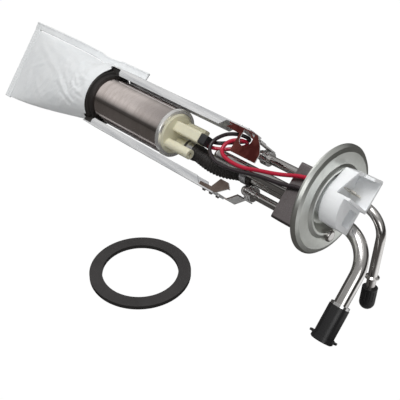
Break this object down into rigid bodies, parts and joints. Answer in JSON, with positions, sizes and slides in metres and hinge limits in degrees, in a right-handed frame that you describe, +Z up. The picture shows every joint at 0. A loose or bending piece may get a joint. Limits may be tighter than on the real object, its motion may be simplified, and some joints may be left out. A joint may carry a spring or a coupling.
{
  "type": "fuel pump module",
  "caption": "In-tank fuel pump module: round mounting flange with two bent pipes and a socket, two sheet arms, a rotary pump, a sock strainer and a flat gasket.",
  "frame": {"origin": "middle of the footprint, on the ground the module lies on", "axes": "+X along the pump towards the flange, +Z up, as the module lies at rest"},
  "size_m": [0.433, 0.1636, 0.1126],
  "materials": {
    "flange_steel": "satin zinc",
    "tube_steel": "polished",
    "arm_steel": "satin",
    "case_steel": "polished",
    "spring_steel": "satin",
    "core_iron": "matt",
    "magnet_ferrite": "matt",
    "winding_copper": "satin",
    "terminal_brass": "tinned",
    "bush_bronze": "satin",
    "brush_carbon": "matt",
    "pump_aluminium": "cast",
    "white_nylon": "semi gloss",
    "cream_nylon": "satin",
    "white_felt": "felt",
    "black_plastic": "satin",
    "red_wire": "semi gloss",
    "black_rubber": "satin",
    "gasket_rubber": "matt"
  },
  "bodies": {
    "module": {"flange_plate": "flange_steel", "support_channel": "flange_steel", "connector_housing": "white_nylon", "connector_terminals": "terminal_brass", "connector_seal": "black_rubber", "wire_grommets": "black_rubber", "supply_tube": "tube_steel", "return_tube": "tube_steel", "centre_post": "tube_steel", "support_rod": "tube_steel", "rod_collars": "tube_steel", "supply_ferrule": "tube_steel", "upper_arm": "arm_steel", "lower_arm": "arm_steel", "upper_bracket": "arm_steel", "lower_bracket": "arm_steel", "bracket_rivets": "arm_steel", "pump_casing": "case_steel", "end_cap": "cream_nylon", "pump_magnets": "magnet_ferrite", "front_bush": "bush_bronze", "rear_bush": "bush_bronze", "brushes": "brush_carbon", "brush_springs": "spring_steel", "pump_terminals": "terminal_brass", "chamber_plate": "pump_aluminium", "inlet_cover": "pump_aluminium", "valve_stop": "terminal_brass", "pump_plug": "black_plastic", "fuel_hose": "black_rubber", "hose_clamps": "spring_steel", "isolator_boot": "black_rubber", "strainer_sock": "white_felt", "sock_neck": "black_plastic", "red_wire": "red_wire", "black_wire": "black_plastic"},
    "rotor": {"motor_shaft": "spring_steel", "armature": "core_iron", "armature_windings": "winding_copper", "commutator": "winding_copper", "impeller": "black_plastic"},
    "poppet": {"check_valve": "cream_nylon", "check_valve_spring": "spring_steel"},
    "supply_cap_body": {"supply_cap": "black_rubber"},
    "return_cap_body": {"return_cap": "black_rubber"},
    "gasket_body": {"gasket": "gasket_rubber"}
  },
  "joints": [
    {"name": "rotor_spin", "type": "hinge", "parent": "module", "child": "rotor", "pos_m": [-0.02175, 0.03692, 0.05606], "axis": [0.998, 0, 0.0624], "continuous": true},
    {"name": "check_valve_lift", "type": "slide", "parent": "module", "child": "poppet", "axis": [0.998, 0, 0.0624], "range_m": [0, 0.0015], "stiffness_N_per_m": 60, "springref_m": -0.002},
    {"name": "supply_cap_pull", "type": "slide", "parent": "module", "child": "supply_cap_body", "axis": [0.046, -0.6762, -0.7352], "range_m": [0, 0.03]},
    {"name": "return_cap_pull", "type": "slide", "parent": "module", "child": "return_cap_body", "axis": [0.0827, -0.1693, -0.9821], "range_m": [0, 0.025]},
    {"name": "gasket_lift", "type": "slide", "parent": "module", "child": "gasket_body", "axis": [0, 0, 1], "range_m": [0, 0.1]}
  ]
}
